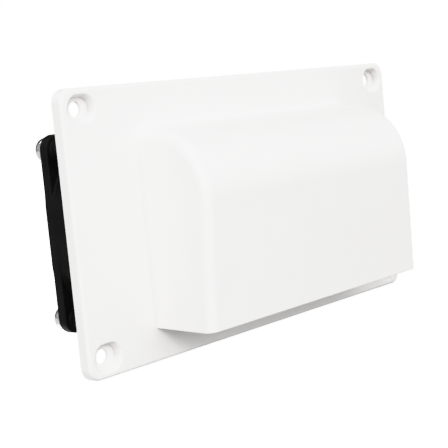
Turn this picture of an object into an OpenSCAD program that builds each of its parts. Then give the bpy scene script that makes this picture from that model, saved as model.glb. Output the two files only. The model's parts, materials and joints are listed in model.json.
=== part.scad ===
// Through-wall extractor vent for a caravan.
// A hooded cover plate carries two axial fans that push stale air out under the hood.
// +Z is up, -Y points outdoors and +Y points into the wall.
// The origin is the centre of the plate, on the plane where its rim meets the wall.

/* [Cover plate] */
// Width of the plate
plate_w = 212; // [210:1:230]
// Height of the plate
plate_h = 108; // [106:1:124]
// Depth of the plate's rim, from the wall to the outer face
rim_d = 5.1; // [5:0.1:7]
// Wall thickness of the moulding
wall_t = 2.6; // [2:0.1:2.8]
// Corner radius of the plate
plate_r = 5.3; // [3:0.1:8]
// Rounding of the plate's front edges
edge_r = 1.3; // [0.6:0.1:2]

/* [Hood] */
// Width of the hood where it meets the plate
hood_w = 137.5; // [128:0.5:144]
// How far the hood stands out from the plate
hood_p = 33.6; // [30:0.2:38]
// Height of the hood's open bottom edge
hood_bottom = -41; // [-44:0.5:-38]
// Radius of the arched top
arch_r = 27; // [24:0.5:29]
// Height of the arch's centre
arch_z = 9.2; // [6:0.2:11]
// Rounding of the hood's front side edges
hood_edge_r = 4.2; // [3.4:0.2:6]
// How far each side leans outward at the arch
flare_top = 1.8; // [0:0.2:2.4]
// How far each side leans outward at the bottom edge
flare_bottom = 4.2; // [0:0.2:5]
// How far the front leans back to the wall at the bottom edge
hood_lean = 2.2; // [0:0.2:3]

/* [Wall fixing] */
// Distance between the screw holes across the plate
hole_span_x = 192; // [188:1:192]
// Distance between the screw holes up the plate
hole_span_z = 92.4; // [90:0.2:93]
// Diameter of the screw holes
hole_d = 5.8; // [4.5:0.1:6]
// Depth of the recess for a screw head
recess_d = 3.6; // [2:0.1:4]

/* [Fans] */
// Side length of a fan's square frame
fan_size = 80; // [79:0.5:81]
// Depth of a fan
fan_d = 25; // [25:0.5:28]
// Gap between the two fans
fan_gap = 7; // [6:0.5:8]
// Height of the fans' centres
fan_z = -2.6; // [-3:0.1:-1]
// Distance between a fan's screw holes
fan_pitch = 68; // [67:0.5:70]
// Depth of the collar that carries the fans, measured from the wall plane
collar_d = 9.8; // [8:0.1:14]
// Diameter of a fan's air duct
duct_d = 76; // [75.5:0.5:76.5]
// Diameter of the impeller's hub
hub_d = 35; // [35:0.5:36]
// Number of blades on an impeller
blade_count = 7; // [5:1:9]

/* [Hidden] */
$fn = 96;

LEFT = -1;
RIGHT = 1;

// Stations along Y
face_y = -rim_d;
skin_back_y = face_y + wall_t;
arch_y = face_y - hood_p + arch_r;
fan_back_y = collar_d + fan_d;

// Collar behind the plate
fan_x = (fan_size + fan_gap) / 2;
collar_w = 2 * fan_size + fan_gap;
web_w = fan_gap + 5;
boss_d = 8;

// Opening through the plate, behind the hood
opening_w = hood_w - 2 * wall_t;
opening_top = 30;
opening_bottom = -34;

// Recess around a wall screw: a long hole with sloping sides
recess_half = 1.6;
recess_floor_r = 4.2;
recess_mouth_r = 5.5;
pad_wall = 1.6;

// Seal strips
seal_w = 6;
seal_gap = 1;

// Fan frame
flange_t = 4.2;
frame_r = 6.3;
duct_wall_r = 42.1;
column_d = 7.4;
frame_hole_d = 4.3;
lip_t = 2.4;
lip_grow = 1.2;
base_d = 34;
base_t = 2.4;
base_floor = 0.4;
strut_w = 3.2;
strut_t = 3;
channel_w = 8;
lead_notch_w = 5;
tube_r = 4;
bush_r = 3;

// Motor stations, measured from the fan's outlet face
clip_z = 1.9;
bush_z = 3;
bush_h = 10;
board_z = base_floor + base_t;
board_t = 1.2;
former_z = 6;
former_h = 8;
core_h = 4;
magnet_z = 5.6;
magnet_h = 10.6;
yoke_z = 5;
yoke_top = 17.4;
hub_z = 4.4;
hub_top = 19.4;
washer_z = 13.2;
hub_boss_z = 14;
shaft_z = 1.2;
shaft_top = 18;

// Motor radii
hub_r = hub_d / 2;
hub_wall = 1.5;
yoke_r = hub_r - hub_wall;
yoke_t = 0.8;
magnet_r = yoke_r - yoke_t;
magnet_t = 2.2;
pole_r = magnet_r - magnet_t - 0.4;
shaft_r = 1.5;
groove_r = 1.15;
run_gap = 0.03;

// Impeller
impeller_r = duct_d / 2 - 1.2;
blade_t = 1.4;
blade_camber_r = 26;
blade_chord_deg = 54;
blade_pitch_deg = 34;
blade_mid_z = 14.5;

// Fan screws
screw_r = 1.95;
screw_head_r = 5;
screw_head_h = 5.1;
screw_side_h = 2.4;
screw_washer_r = 5.5;
screw_washer_t = 0.8;
slot_l = 4.4;
slot_w = 0.9;
slot_depth = 1.8;
screw_bite = 8;

// Leads and plug
lead_r = 0.7;
bend_swell = 1.1;
lead_pitch = 1.7;
lead_z = 1.7;
lead_room = 1;
channel_roof = 1.2;
tie_y = fan_back_y + 6;
plug_y = fan_back_y + 17;
plug_l = 14;
plug_w = 9.5;
plug_h = 6;
pin_pitch = 4;

cover_colour = [0.95, 0.95, 0.945];
black_plastic = [0.05, 0.05, 0.055];

// ---------- shared shapes ----------

module rounded_rect(w, h, r) {
    square([w - 2 * r, h], center = true);
    square([w, h - 2 * r], center = true);
    for (x = [-1, 1], y = [-1, 1])
        translate([x * (w / 2 - r), y * (h / 2 - r)]) circle(r);
}

// Stands a shape drawn in XY up in the XZ plane; its height then runs towards +Y.
module facing_wall(y) {
    translate([0, y, 0]) rotate([-90, 0, 0]) children();
}

// Slab whose edges are rounded on the face at z = t.
module pillow(w, h, t, r, e) {
    linear_extrude(t - e) rounded_rect(w, h, r);
    linear_extrude(t) rounded_rect(w - 2 * e, h - 2 * e, r - e);
    for (s = [-1, 1]) {
        translate([0, s * (h / 2 - e), t - e]) rotate([0, 90, 0])
            cylinder(r = e, h = w - 2 * r, center = true);
        translate([s * (w / 2 - e), 0, t - e]) rotate([90, 0, 0])
            cylinder(r = e, h = h - 2 * r, center = true);
    }
    for (x = [-1, 1], y = [-1, 1])
        translate([x * (w / 2 - r), y * (h / 2 - r), t - e])
            rotate_extrude() translate([r - e, 0]) circle(e, $fn = 32);
}

module tube(outer_r, inner_r, h) {
    difference() {
        cylinder(r = outer_r, h = h);
        translate([0, 0, -1]) cylinder(r = inner_r, h = h + 2);
    }
}

module at_wall_screws() {
    for (x = [-1, 1], z = [-1, 1])
        translate([x * hole_span_x / 2, 0, z * hole_span_z / 2]) children();
}

// Fan frame of reference: z = 0 on the outlet face, +z towards the intake.
// The lead channel runs along +x, which faces the middle of the plate on both sides.
module at_fan(side) {
    translate([side * fan_x, collar_d, fan_z]) rotate([-90, 0, 0])
        rotate([0, 0, side == LEFT ? 0 : 180]) children();
}

module at_fan_screws() {
    for (x = [-1, 1], y = [-1, 1])
        translate([x * fan_pitch / 2, y * fan_pitch / 2, 0]) children();
}

// Straight run of a lead, with a slightly larger ball at its start to close the bend.
module run(a, b, r) {
    d = b - a;
    translate(a) rotate([0, acos(d.z / norm(d)), atan2(d.y, d.x)])
        cylinder(r = r, h = norm(d), $fn = 24);
    translate(a) sphere(r * bend_swell, $fn = 24);
}

module lead(path) {
    for (i = [0 : len(path) - 2]) run(path[i], path[i + 1], lead_r);
}

// ---------- cover moulding ----------

// The outer hood when inset is 0, its hollow when inset is the wall thickness.
module hood_shape(inset, drop) {
    foot_w = hood_w - 2 * inset;
    top_z = arch_z + arch_r - inset;
    side_x = hood_w / 2 - hood_edge_r;
    round_r = hood_edge_r - inset;
    hull() {
        translate([-foot_w / 2, face_y - 0.1, hood_bottom - drop])
            cube([foot_w, 0.2, top_z - hood_bottom + drop]);
        for (s = [-1, 1]) {
            translate([s * (side_x + flare_top), arch_y, arch_z]) rotate([90, 0, -90])
                rotate_extrude(angle = 90, $fn = 96)
                    translate([arch_r - hood_edge_r, 0]) circle(round_r, $fn = 32);
            translate([
                s * (side_x + flare_bottom),
                face_y - hood_p + hood_lean + hood_edge_r,
                hood_bottom - drop
            ]) cylinder(r = round_r, h = 0.1, $fn = 32);
        }
    }
}

// Concave fillet between the plate and the top of the arch.
module arch_fillet() {
    fillet_r = 2.4;
    fillet_w = hood_w - 2 * hood_edge_r;
    translate([-fillet_w / 2, face_y, arch_z + arch_r]) rotate([90, 0, 90])
        linear_extrude(fillet_w) difference() {
            translate([-fillet_r, -0.4]) square([fillet_r + 0.2, fillet_r + 0.4]);
            translate([-fillet_r, fillet_r]) circle(fillet_r);
        }
}

// Long hole with sloping sides; z = 0 is its floor.
module recess_shape(grow, depth) {
    for (s = [-1, 1]) translate([s * recess_half, 0, 0])
        cylinder(r1 = recess_floor_r + grow, r2 = recess_mouth_r + grow, h = depth);
    floor_r = recess_floor_r + grow;
    mouth_r = recess_mouth_r + grow;
    translate([-recess_half, 0, 0]) rotate([90, 0, 90]) linear_extrude(2 * recess_half)
        polygon([[-floor_r, 0], [floor_r, 0], [mouth_r, depth], [-mouth_r, depth]]);
}

module screw_pad() {
    facing_wall(skin_back_y - 0.2) linear_extrude(-skin_back_y + 0.2) {
        for (s = [-1, 1]) translate([s * recess_half, 0]) circle(recess_mouth_r + pad_wall);
        square([2 * recess_half, 2 * (recess_mouth_r + pad_wall)], center = true);
    }
}

module collar() {
    facing_wall(skin_back_y - 0.2) translate([0, -fan_z, 0])
        linear_extrude(collar_d - skin_back_y + 0.2) difference() {
            rounded_rect(collar_w, fan_size, frame_r);
            rounded_rect(collar_w - 2 * wall_t, fan_size - 2 * wall_t, frame_r - wall_t);
        }
    // Web between the fans, clear of the plate so that air can cross
    translate([-web_w / 2, collar_d - 4, fan_z - fan_size / 2 + 1])
        cube([web_w, 4, fan_size - 2]);
    for (side = [LEFT, RIGHT]) at_fan(side) at_fan_screws()
        translate([0, 0, -(collar_d - skin_back_y) - 0.2])
            cylinder(d = boss_d, h = collar_d - skin_back_y + 0.2);
}

module hood_plate() {
    color(cover_colour) difference() {
        union() {
            difference() {
                union() {
                    facing_wall(0) rotate([180, 0, 0])
                        pillow(plate_w, plate_h, rim_d, plate_r, edge_r);
                    hood_shape(0, 0);
                    arch_fillet();
                }
                hood_shape(wall_t, 2);
                // Hollow behind the plate's face
                facing_wall(skin_back_y) linear_extrude(rim_d)
                    rounded_rect(plate_w - 2 * wall_t, plate_h - 2 * wall_t, plate_r - wall_t);
                // Air opening into the hood
                facing_wall(face_y - 1) translate([0, -(opening_top + opening_bottom) / 2, 0])
                    linear_extrude(rim_d)
                        rounded_rect(opening_w, opening_top - opening_bottom, 3);
            }
            at_wall_screws() screw_pad();
            collar();
        }
        at_wall_screws() {
            translate([0, face_y - 1, 0]) rotate([-90, 0, 0])
                cylinder(d = hole_d, h = rim_d + 2);
            translate([0, face_y + recess_d, 0]) rotate([90, 0, 0])
                recess_shape(0, recess_d + 0.5);
        }
        for (side = [LEFT, RIGHT]) at_fan(side) at_fan_screws()
            translate([0, 0, -screw_bite - 1]) cylinder(r = screw_r + run_gap, h = screw_bite + 2);
    }
}

// Foam tape that closes the hollow plate against the wall, in four lengths.
module seal_strips() {
    inner_x = plate_w / 2 - wall_t - seal_gap;
    inner_z = plate_h / 2 - wall_t - seal_gap;
    pad_x = hole_span_x / 2 - recess_half - recess_mouth_r - pad_wall - seal_gap;
    pad_z = hole_span_z / 2 - recess_mouth_r - pad_wall - seal_gap;
    color([0.16, 0.16, 0.17]) for (s = [-1, 1]) {
        facing_wall(skin_back_y) translate([0, s * (inner_z - seal_w / 2), 0])
            linear_extrude(-skin_back_y) rounded_rect(2 * pad_x, seal_w, 0.6);
        facing_wall(skin_back_y) translate([s * (inner_x - seal_w / 2), 0, 0])
            linear_extrude(-skin_back_y) rounded_rect(seal_w, 2 * pad_z, 0.6);
    }
}

// ---------- fan frame ----------

module fan_frame() {
    color(black_plastic) difference() {
        union() {
            difference() {
                union() {
                    for (z = [0, fan_d - flange_t]) translate([0, 0, z])
                        linear_extrude(flange_t) rounded_rect(fan_size, fan_size, frame_r);
                    intersection() {
                        cylinder(r = duct_wall_r, h = fan_d);
                        translate([0, 0, fan_d / 2])
                            cube([fan_size - 0.6, fan_size - 0.6, fan_d], center = true);
                    }
                    at_fan_screws() cylinder(d = column_d, h = fan_d);
                }
                translate([0, 0, -1]) cylinder(d = duct_d, h = fan_d + 2);
                // Flared lips at the intake and the outlet
                translate([0, 0, fan_d - lip_t])
                    cylinder(d1 = duct_d, d2 = duct_d + 2 * lip_grow, h = lip_t + 0.01);
                translate([0, 0, -0.01])
                    cylinder(d1 = duct_d + 2 * lip_grow, d2 = duct_d, h = lip_t);
            }
            motor_base();
        }
        at_fan_screws() translate([0, 0, -1]) cylinder(d = frame_hole_d, h = fan_d + 2);
        // Open channel that brings the leads out to the side
        translate([base_d / 2 - 4, -lead_notch_w / 2, -1])
            cube([fan_size / 2, lead_notch_w, 1 + lead_z + lead_room]);
        // Bore of the bearing tube and the hole the clip goes in through
        translate([0, 0, -1]) cylinder(r = bush_r, h = former_z + former_h + 2);
    }
}

module motor_base() {
    translate([0, 0, base_floor]) cylinder(d = base_d, h = base_t);
    translate([0, 0, base_floor]) cylinder(r = tube_r, h = former_z + former_h - base_floor - 0.6);
    for (a = [90, 180, 270]) rotate([0, 0, a])
        translate([base_d / 2 - 2, -strut_w / 2, base_floor])
            cube([duct_d / 2 - base_d / 2 + 3, strut_w, strut_t]);
    translate([base_d / 2 - 3, -channel_w / 2, base_floor])
        cube([(duct_d - base_d) / 2 + 4, channel_w, lead_z + lead_room + channel_roof - base_floor]);
}

// ---------- rotor ----------

module impeller() {
    color(black_plastic) {
        difference() {
            union() {
                translate([0, 0, hub_z]) cylinder(r = hub_r, h = hub_top - hub_z - 1);
                translate([0, 0, hub_top - 1]) cylinder(r1 = hub_r, r2 = hub_r - 1.6, h = 1);
            }
            translate([0, 0, hub_z - 1]) cylinder(r = yoke_r, h = yoke_top - hub_z + 1);
            translate([0, 0, hub_z]) cylinder(r = shaft_r, h = shaft_top - hub_z);
        }
        for (i = [0 : blade_count - 1]) rotate([0, 0, i * 360 / blade_count]) blade();
    }
}

// One cambered blade, trimmed to the duct and sunk a little into the hub.
module blade() {
    root_r = hub_r - 0.8;
    difference() {
        intersection() {
            translate([0, 0, blade_mid_z]) rotate([90, 0, 90])
                linear_extrude(impeller_r + 1) blade_section();
            cylinder(r = impeller_r, h = fan_d);
        }
        cylinder(r = root_r, h = fan_d);
    }
}

module blade_section() {
    half = blade_chord_deg / 2;
    reach = blade_camber_r + 10;
    rotate(blade_pitch_deg) translate([0, -blade_camber_r])
        intersection() {
            difference() {
                circle(blade_camber_r + blade_t / 2);
                circle(blade_camber_r - blade_t / 2);
            }
            polygon([[0, 0], [-reach * tan(half), reach], [reach * tan(half), reach]]);
        }
}

module rotor_yoke() {
    color([0.62, 0.63, 0.65]) difference() {
        translate([0, 0, yoke_z]) cylinder(r = yoke_r, h = yoke_top - yoke_z);
        translate([0, 0, yoke_z - 1]) cylinder(r = yoke_r - yoke_t, h = yoke_top - yoke_z + 0.2);
        translate([0, 0, yoke_z]) cylinder(r = shaft_r + 1.1, h = yoke_top);
    }
}

module magnet_ring() {
    color([0.2, 0.19, 0.18]) translate([0, 0, magnet_z])
        tube(magnet_r, magnet_r - magnet_t, magnet_h);
}

// Shaft with its hub boss side up; the groove near the outlet end holds the clip.
module shaft() {
    color([0.8, 0.8, 0.82]) rotate_extrude() polygon([
        [0, shaft_z], [shaft_r - 0.3, shaft_z], [shaft_r, shaft_z + 0.3],
        [shaft_r, clip_z], [groove_r, clip_z], [groove_r, clip_z + 0.6], [shaft_r, clip_z + 0.6],
        [shaft_r, hub_boss_z], [shaft_r + 1.1, hub_boss_z], [shaft_r + 1.1, yoke_top],
        [shaft_r, yoke_top], [shaft_r, shaft_top], [0, shaft_top]
    ]);
}

module retaining_clip() {
    color([0.7, 0.7, 0.72]) translate([0, 0, clip_z + 0.05]) difference() {
        tube(2.5, groove_r, 0.5);
        translate([0, -groove_r, -1]) cube([4, 2 * groove_r, 3]);
    }
}

// ---------- stator ----------

module sleeve_bearing() {
    color([0.72, 0.5, 0.24]) translate([0, 0, bush_z])
        tube(bush_r, shaft_r + run_gap, bush_h);
}

module thrust_washer() {
    color([0.85, 0.85, 0.8]) translate([0, 0, washer_z])
        tube(bush_r - 0.2, shaft_r + 0.08, 0.5);
}

module stator_core() {
    slot_r = 7;
    shoe_t = 1.4;
    color([0.5, 0.5, 0.52]) translate([0, 0, former_z + (former_h - core_h) / 2])
        linear_extrude(core_h) difference() {
            union() {
                circle(slot_r);
                for (a = [45 : 90 : 315]) rotate(a) {
                    translate([0, -1.8]) square([pole_r - shoe_t / 2, 3.6]);
                    intersection() {
                        difference() {
                            circle(pole_r);
                            circle(pole_r - shoe_t);
                        }
                        polygon([[0, 0], [pole_r * 2, -pole_r * 1.5], [pole_r * 2, pole_r * 1.5]]);
                    }
                }
            }
            circle(tube_r);
        }
}

// Insulating collars above and below the core.
module coil_former() {
    collar_h = (former_h - core_h) / 2;
    color([0.93, 0.9, 0.8]) for (z = [former_z, former_z + former_h - collar_h])
        translate([0, 0, z]) linear_extrude(collar_h) difference() {
            union() {
                circle(6.4);
                for (a = [45 : 90 : 315]) rotate(a) translate([0, -1.4]) square([10, 2.8]);
            }
            circle(tube_r);
        }
}

// One coil round each pole: a block with a hole for the pole and its insulation.
module windings() {
    coil_t = 0.8;
    coil_w = 6.2;
    hole_w = 3.7;
    color([0.78, 0.42, 0.2]) for (a = [45 : 90 : 315]) rotate([0, 0, a])
        translate([7.2, 0, former_z]) difference() {
            translate([0, -coil_w / 2, -coil_t]) cube([2.6, coil_w, former_h + 2 * coil_t]);
            translate([-1, -hole_w / 2, 0]) cube([5, hole_w, former_h]);
        }
}

module circuit_board() {
    color([0.1, 0.4, 0.2]) translate([0, 0, board_z]) tube(13.5, tube_r + 0.1, board_t);
    // Sensor chip and two capacitors
    color([0.1, 0.1, 0.1]) translate([0, 0, board_z + board_t]) {
        translate([10.2, -2, 0]) cube([1.4, 4, 1]);
        translate([-11.5, -3, 0]) cube([1.6, 1.2, 0.7]);
        translate([-11.5, 2, 0]) cube([1.6, 1.2, 0.7]);
    }
}

module hub_sticker() {
    color([0.86, 0.87, 0.88]) translate([0, 0, base_floor - 0.2]) cylinder(d = 26, h = 0.2);
}

// ---------- fasteners and wiring ----------

// Cross-slot screws with fixed washers that hold both fans to the collar.
module fan_screws() {
    color([0.82, 0.83, 0.85]) for (side = [LEFT, RIGHT]) at_fan(side) at_fan_screws() {
        translate([0, 0, -screw_bite]) cylinder(r = screw_r, h = fan_d + screw_bite);
        translate([0, 0, fan_d]) cylinder(r = screw_washer_r, h = screw_washer_t);
        translate([0, 0, fan_d + screw_washer_t]) difference() {
            screw_head();
            for (a = [0, 90]) rotate([0, 0, a])
                translate([-slot_l / 2, -slot_w / 2, screw_head_h - slot_depth])
                    cube([slot_l, slot_w, slot_depth + 1]);
        }
    }
}

// Domed head, turned from an arc over a straight side.
module screw_head() {
    rise = screw_head_h - screw_side_h;
    dome_r = (screw_head_r * screw_head_r + rise * rise) / (2 * rise);
    cylinder(r = screw_head_r, h = screw_side_h);
    intersection() {
        cylinder(r = screw_head_r, h = screw_head_h);
        translate([0, 0, screw_head_h - dome_r]) sphere(dome_r);
    }
}

// A lead leaves the board, follows the channel, turns back between the fans and ends in the plug.
// offset_z is its height in the channel's width, pin is -1 or 1 for the plug's two ways.
function lead_path(side, offset_z, pin) = [
    [side * (fan_x - 14.4), collar_d + lead_z, fan_z + offset_z],
    [side * 2.1, collar_d + lead_z, fan_z + offset_z],
    [side * 1.2, collar_d + lead_z + 2, fan_z + offset_z],
    [side * 1.1, fan_back_y, fan_z + offset_z],
    [side * 0.9, tie_y, fan_z + pin * 0.9],
    [side * 0.9, tie_y + 4, fan_z + pin * 0.9],
    [side * 0.9, plug_y + 1, fan_z + pin * pin_pitch / 2]
];

module red_lead(side) {
    color([0.75, 0.08, 0.06]) lead(lead_path(side, lead_pitch / 2, 1));
}

module black_lead(side) {
    color([0.06, 0.06, 0.06]) lead(lead_path(side, -lead_pitch / 2, -1));
}

module cable_tie() {
    color([0.1, 0.1, 0.1]) translate([0, tie_y, fan_z]) rotate([-90, 0, 0]) {
        tube(3.2, 2.4, 2.5);
        translate([2.9, -2, -0.6]) cube([3, 4, 3.7]);
    }
}

module plug_housing() {
    color([0.92, 0.91, 0.86]) difference() {
        facing_wall(plug_y) translate([0, -fan_z, 0])
            linear_extrude(plug_l) rounded_rect(plug_h, plug_w, 0.8);
        for (s = [-1, 1]) facing_wall(plug_y - 1) translate([0, -fan_z + s * pin_pitch / 2, 0]) {
            translate([-1.75, -0.8, 0]) cube([3.5, 1.6, 4]);
            cylinder(r = 0.75, h = plug_l);
        }
        // Mouth for the mating socket
        facing_wall(plug_y + plug_l - 8) translate([0, -fan_z, 0])
            linear_extrude(9) rounded_rect(plug_h - 1.6, plug_w - 1.6, 0.4);
    }
}

module plug_pins() {
    color([0.85, 0.7, 0.3]) for (s = [-1, 1])
        facing_wall(plug_y + 3.5) translate([0, -fan_z + s * pin_pitch / 2, 0]) {
            cylinder(r = 0.7, h = plug_l - 5.5);
            translate([0, 0, plug_l - 5.5]) cylinder(r1 = 0.7, r2 = 0.3, h = 0.8);
        }
}

hood_plate();
seal_strips();
fan_screws();
at_fan(LEFT) fan_frame();  // fan_frame_left
at_fan(LEFT) impeller();  // impeller_left
at_fan(LEFT) rotor_yoke();  // rotor_yoke_left
at_fan(LEFT) magnet_ring();  // magnet_ring_left
at_fan(LEFT) shaft();  // shaft_left
at_fan(LEFT) sleeve_bearing();  // sleeve_bearing_left
at_fan(LEFT) thrust_washer();  // thrust_washer_left
at_fan(LEFT) retaining_clip();  // retaining_clip_left
at_fan(LEFT) stator_core();  // stator_core_left
at_fan(LEFT) coil_former();  // coil_former_left
at_fan(LEFT) windings();  // windings_left
at_fan(LEFT) circuit_board();  // circuit_board_left
at_fan(LEFT) hub_sticker();  // hub_sticker_left
at_fan(RIGHT) fan_frame();  // fan_frame_right
at_fan(RIGHT) impeller();  // impeller_right
at_fan(RIGHT) rotor_yoke();  // rotor_yoke_right
at_fan(RIGHT) magnet_ring();  // magnet_ring_right
at_fan(RIGHT) shaft();  // shaft_right
at_fan(RIGHT) sleeve_bearing();  // sleeve_bearing_right
at_fan(RIGHT) thrust_washer();  // thrust_washer_right
at_fan(RIGHT) retaining_clip();  // retaining_clip_right
at_fan(RIGHT) stator_core();  // stator_core_right
at_fan(RIGHT) coil_former();  // coil_former_right
at_fan(RIGHT) windings();  // windings_right
at_fan(RIGHT) circuit_board();  // circuit_board_right
at_fan(RIGHT) hub_sticker();  // hub_sticker_right
red_lead(LEFT);  // red_lead_left
black_lead(LEFT);  // black_lead_left
red_lead(RIGHT);  // red_lead_right
black_lead(RIGHT);  // black_lead_right
cable_tie();
plug_housing();
plug_pins();
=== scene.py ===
import json
import math

import bpy
import numpy as np
from mathutils import Matrix, Vector


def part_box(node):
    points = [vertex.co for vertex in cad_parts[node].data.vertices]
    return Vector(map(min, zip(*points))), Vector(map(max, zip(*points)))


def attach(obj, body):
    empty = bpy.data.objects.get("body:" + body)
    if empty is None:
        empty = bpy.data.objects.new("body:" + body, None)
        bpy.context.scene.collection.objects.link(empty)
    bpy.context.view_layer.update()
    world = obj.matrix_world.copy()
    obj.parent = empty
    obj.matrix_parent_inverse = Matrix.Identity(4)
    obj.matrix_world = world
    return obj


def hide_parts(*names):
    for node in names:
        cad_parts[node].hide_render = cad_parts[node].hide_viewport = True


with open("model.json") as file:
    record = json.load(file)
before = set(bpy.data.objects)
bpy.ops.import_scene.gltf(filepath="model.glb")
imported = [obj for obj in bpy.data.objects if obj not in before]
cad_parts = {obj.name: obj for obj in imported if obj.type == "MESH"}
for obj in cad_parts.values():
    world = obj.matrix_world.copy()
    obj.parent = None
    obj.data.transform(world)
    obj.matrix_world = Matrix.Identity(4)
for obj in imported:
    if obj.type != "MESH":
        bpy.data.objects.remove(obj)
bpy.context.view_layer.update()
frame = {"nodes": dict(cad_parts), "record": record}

# Shapes are worked out in millimetres; Blender's own units are metres.
MM = 0.001


def box_mm(node):
    """The two corners of a CAD node's box."""
    low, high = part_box(node)
    return np.array(low) / MM, np.array(high) / MM


# ---------- sizes ----------

# Cover, from the frame
cover_low, cover_high = box_mm("hood_plate")
PLATE_W = cover_high[0] - cover_low[0]
PLATE_H = cover_high[2] - cover_low[2]
HOOD_FRONT_Y = cover_low[1]
COLLAR_BACK_Y = cover_high[1]

# Cover, design values shared with the CAD model
RIM_D = 5.1
WALL = 2.6
PLATE_R = 5.3
EDGE_R = 1.3
BACK_EDGE_R = 0.35
HOLLOW_R = 0.8
SMALL_R = 0.4
FACE_Y = -RIM_D
SKIN_BACK_Y = FACE_Y + WALL
HOOD_W = 137.5
HOOD_P = FACE_Y - HOOD_FRONT_Y
HOOD_BOTTOM = -41.0
ARCH_R = 27.0
ARCH_Z = 9.2
ARCH_Y = HOOD_FRONT_Y + ARCH_R
HOOD_EDGE_R = 4.2
FLARE_TOP = 1.8
FLARE_BOTTOM = 4.2
HOOD_LEAN = 2.2
HOOD_INNER_R = 1.6
HOOD_LIP_R = 0.5
# The fillet where the hood meets the plate grows towards the top
FOOT_R = 0.45
FOOT_R_GROWTH = 2.2
FOOT_GROWS_FROM_Z = 26
FOOT_GROWS_OVER = 8
JOINT_DEPTH = 0.6
HOLE_X = 96.0
HOLE_Z = 46.2
HOLE_R = 2.9
RECESS_D = 3.6
RECESS_FLOOR_R = 4.15
RECESS_MOUTH_R = 5.5
RECESS_HALF = 1.6
# Keeps the sloped recess wall's field close to true distance
RECESS_SLOPE_COS = 0.93
PAD_WALL = 1.6
PAD_R = RECESS_MOUTH_R + PAD_WALL
OPENING_TOP = 30.0
OPENING_BOTTOM = -34.0
OPENING_R = 3
WEB_HALF = 6
WEB_T = 4
BOSS_R = 4
PILOT_R = 1.98
PILOT_D = 9
SEAL_W = 6.0
SEAL_GAP = 1.0
SEAL_TRIM = 0.4
OVERLAP = 0.2

# Fans, from the frame
fan_low, fan_high = box_mm("fan_frame_left")
FAN_SIZE = fan_high[0] - fan_low[0]
FAN_X = -(fan_high[0] + fan_low[0]) / 2
FAN_Z = (fan_high[2] + fan_low[2]) / 2
FAN_FRONT_Y = fan_low[1]
FAN_BACK_Y = fan_high[1]
FAN_PITCH = 68.0
FRAME_R = 6.3
COLLAR_W = 2 * (FAN_X + FAN_SIZE / 2)


# ---------- distance fields, in millimetres, negative inside ----------


def blend_max(a, b, r):
    """Intersection of two fields with a rounded edge."""
    return np.minimum(-r, np.maximum(a, b)) + np.hypot(np.maximum(a + r, 0), np.maximum(b + r, 0))


def blend_min(a, b, r):
    """Union of two fields with a filleted joint."""
    return np.maximum(r, np.minimum(a, b)) - np.hypot(np.maximum(r - a, 0), np.maximum(r - b, 0))


def rounded_rect(u, v, width, height, r):
    """Distance to a rectangle with rounded corners, centred on zero."""
    du = np.abs(u) - (width / 2 - r)
    dv = np.abs(v) - (height / 2 - r)
    return np.hypot(np.maximum(du, 0), np.maximum(dv, 0)) + np.minimum(np.maximum(du, dv), 0) - r


def between(v, low, high):
    """Distance to a slab from low to high."""
    return np.abs(v - (low + high) / 2) - (high - low) / 2


def stadium(u, v, half, r):
    """Distance to a round-ended slot along u, twice half long between its end centres."""
    return np.hypot(np.maximum(np.abs(u) - half, 0), v) - r


def hood_field(x, y, z, inset, edge_r):
    """The hood's outer body, or its hollow when inset is the wall."""
    out = np.clip((FACE_Y - y) / HOOD_P, 0, 1)
    down = np.clip((ARCH_Z - z) / (ARCH_Z - HOOD_BOTTOM), 0, 1)
    flare = FLARE_TOP + (FLARE_BOTTOM - FLARE_TOP) * down
    side = np.abs(x) - (HOOD_W / 2 + flare * out)
    u = ARCH_Y - y + HOOD_LEAN * down
    v = z - ARCH_Z
    profile = np.hypot(np.maximum(u, 0), np.maximum(v, 0)) + np.minimum(np.maximum(u, v), 0) - ARCH_R
    return blend_max(side + inset, profile + inset, edge_r)


def recess_field(x, y, z):
    """Long screw recess with a flat floor and steep sides that open towards the face."""
    up = 1 - np.clip((y - FACE_Y) / RECESS_D, 0, 1)
    radius = RECESS_FLOOR_R + (RECESS_MOUTH_R - RECESS_FLOOR_R) * up
    wall = stadium(np.abs(x) - HOLE_X, np.abs(z) - HOLE_Z, RECESS_HALF, radius) * RECESS_SLOPE_COS
    return blend_max(wall, y - (FACE_Y + RECESS_D), 0.2)


def plate_field(x, y, z):
    """The plate with its rim, hollow at the back."""
    plate = blend_max(rounded_rect(x, z, PLATE_W, PLATE_H, PLATE_R), FACE_Y - y, EDGE_R)
    plate = blend_max(plate, y, BACK_EDGE_R)
    hollow = rounded_rect(x, z, PLATE_W - 2 * WALL, PLATE_H - 2 * WALL, PLATE_R - WALL)
    return blend_max(plate, -blend_max(hollow, SKIN_BACK_Y - y, HOLLOW_R), SMALL_R)


def hood_shell_field(x, y, z):
    """The hood as an open shell that ends just inside the plate's face."""
    outer = hood_field(x, y, z, 0, HOOD_EDGE_R)
    shell = blend_max(outer, -hood_field(x, y, z, WALL, HOOD_INNER_R), HOOD_LIP_R)
    shell = blend_max(shell, HOOD_BOTTOM - z, HOOD_LIP_R)
    return np.maximum(shell, y - (FACE_Y + JOINT_DEPTH))


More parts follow.
